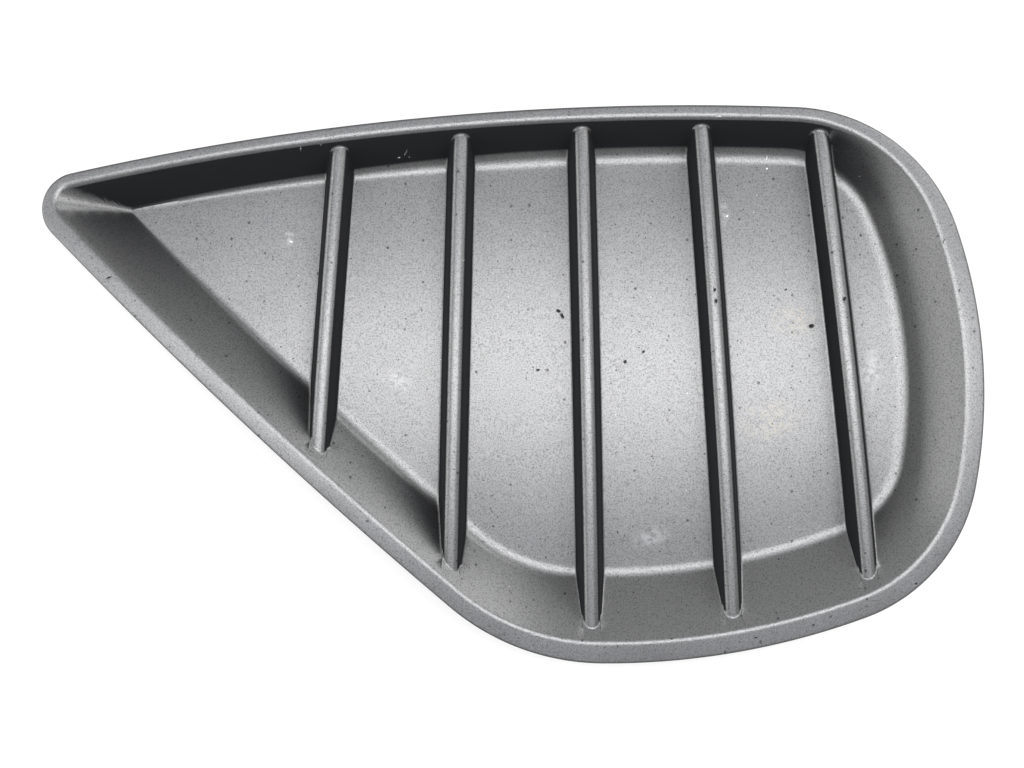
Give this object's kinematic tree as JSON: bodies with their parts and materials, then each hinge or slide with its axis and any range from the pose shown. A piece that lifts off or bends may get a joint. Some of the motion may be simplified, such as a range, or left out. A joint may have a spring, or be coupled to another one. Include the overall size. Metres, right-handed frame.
{
  "type": "bumper grille",
  "caption": "Dark moulded plastic bumper grille blank: tear-drop flange round a sunk floor crossed by fanned hollow ribs, with snap hooks behind.",
  "frame": {"origin": "under the middle of the part's box, on the surface that it lies on", "axes": "+X from the pointed tip to the rounded end, +Y up the face as fitted, +Z out of the face"},
  "size_m": [0.3194, 0.1882, 0.0302],
  "materials": {
    "moulded_plastic": "grained, worn and dusty dark grey polypropylene"
  },
  "bodies": {
    "root": {"bumper_grille": "moulded_plastic"}
  },
  "joints": []
}
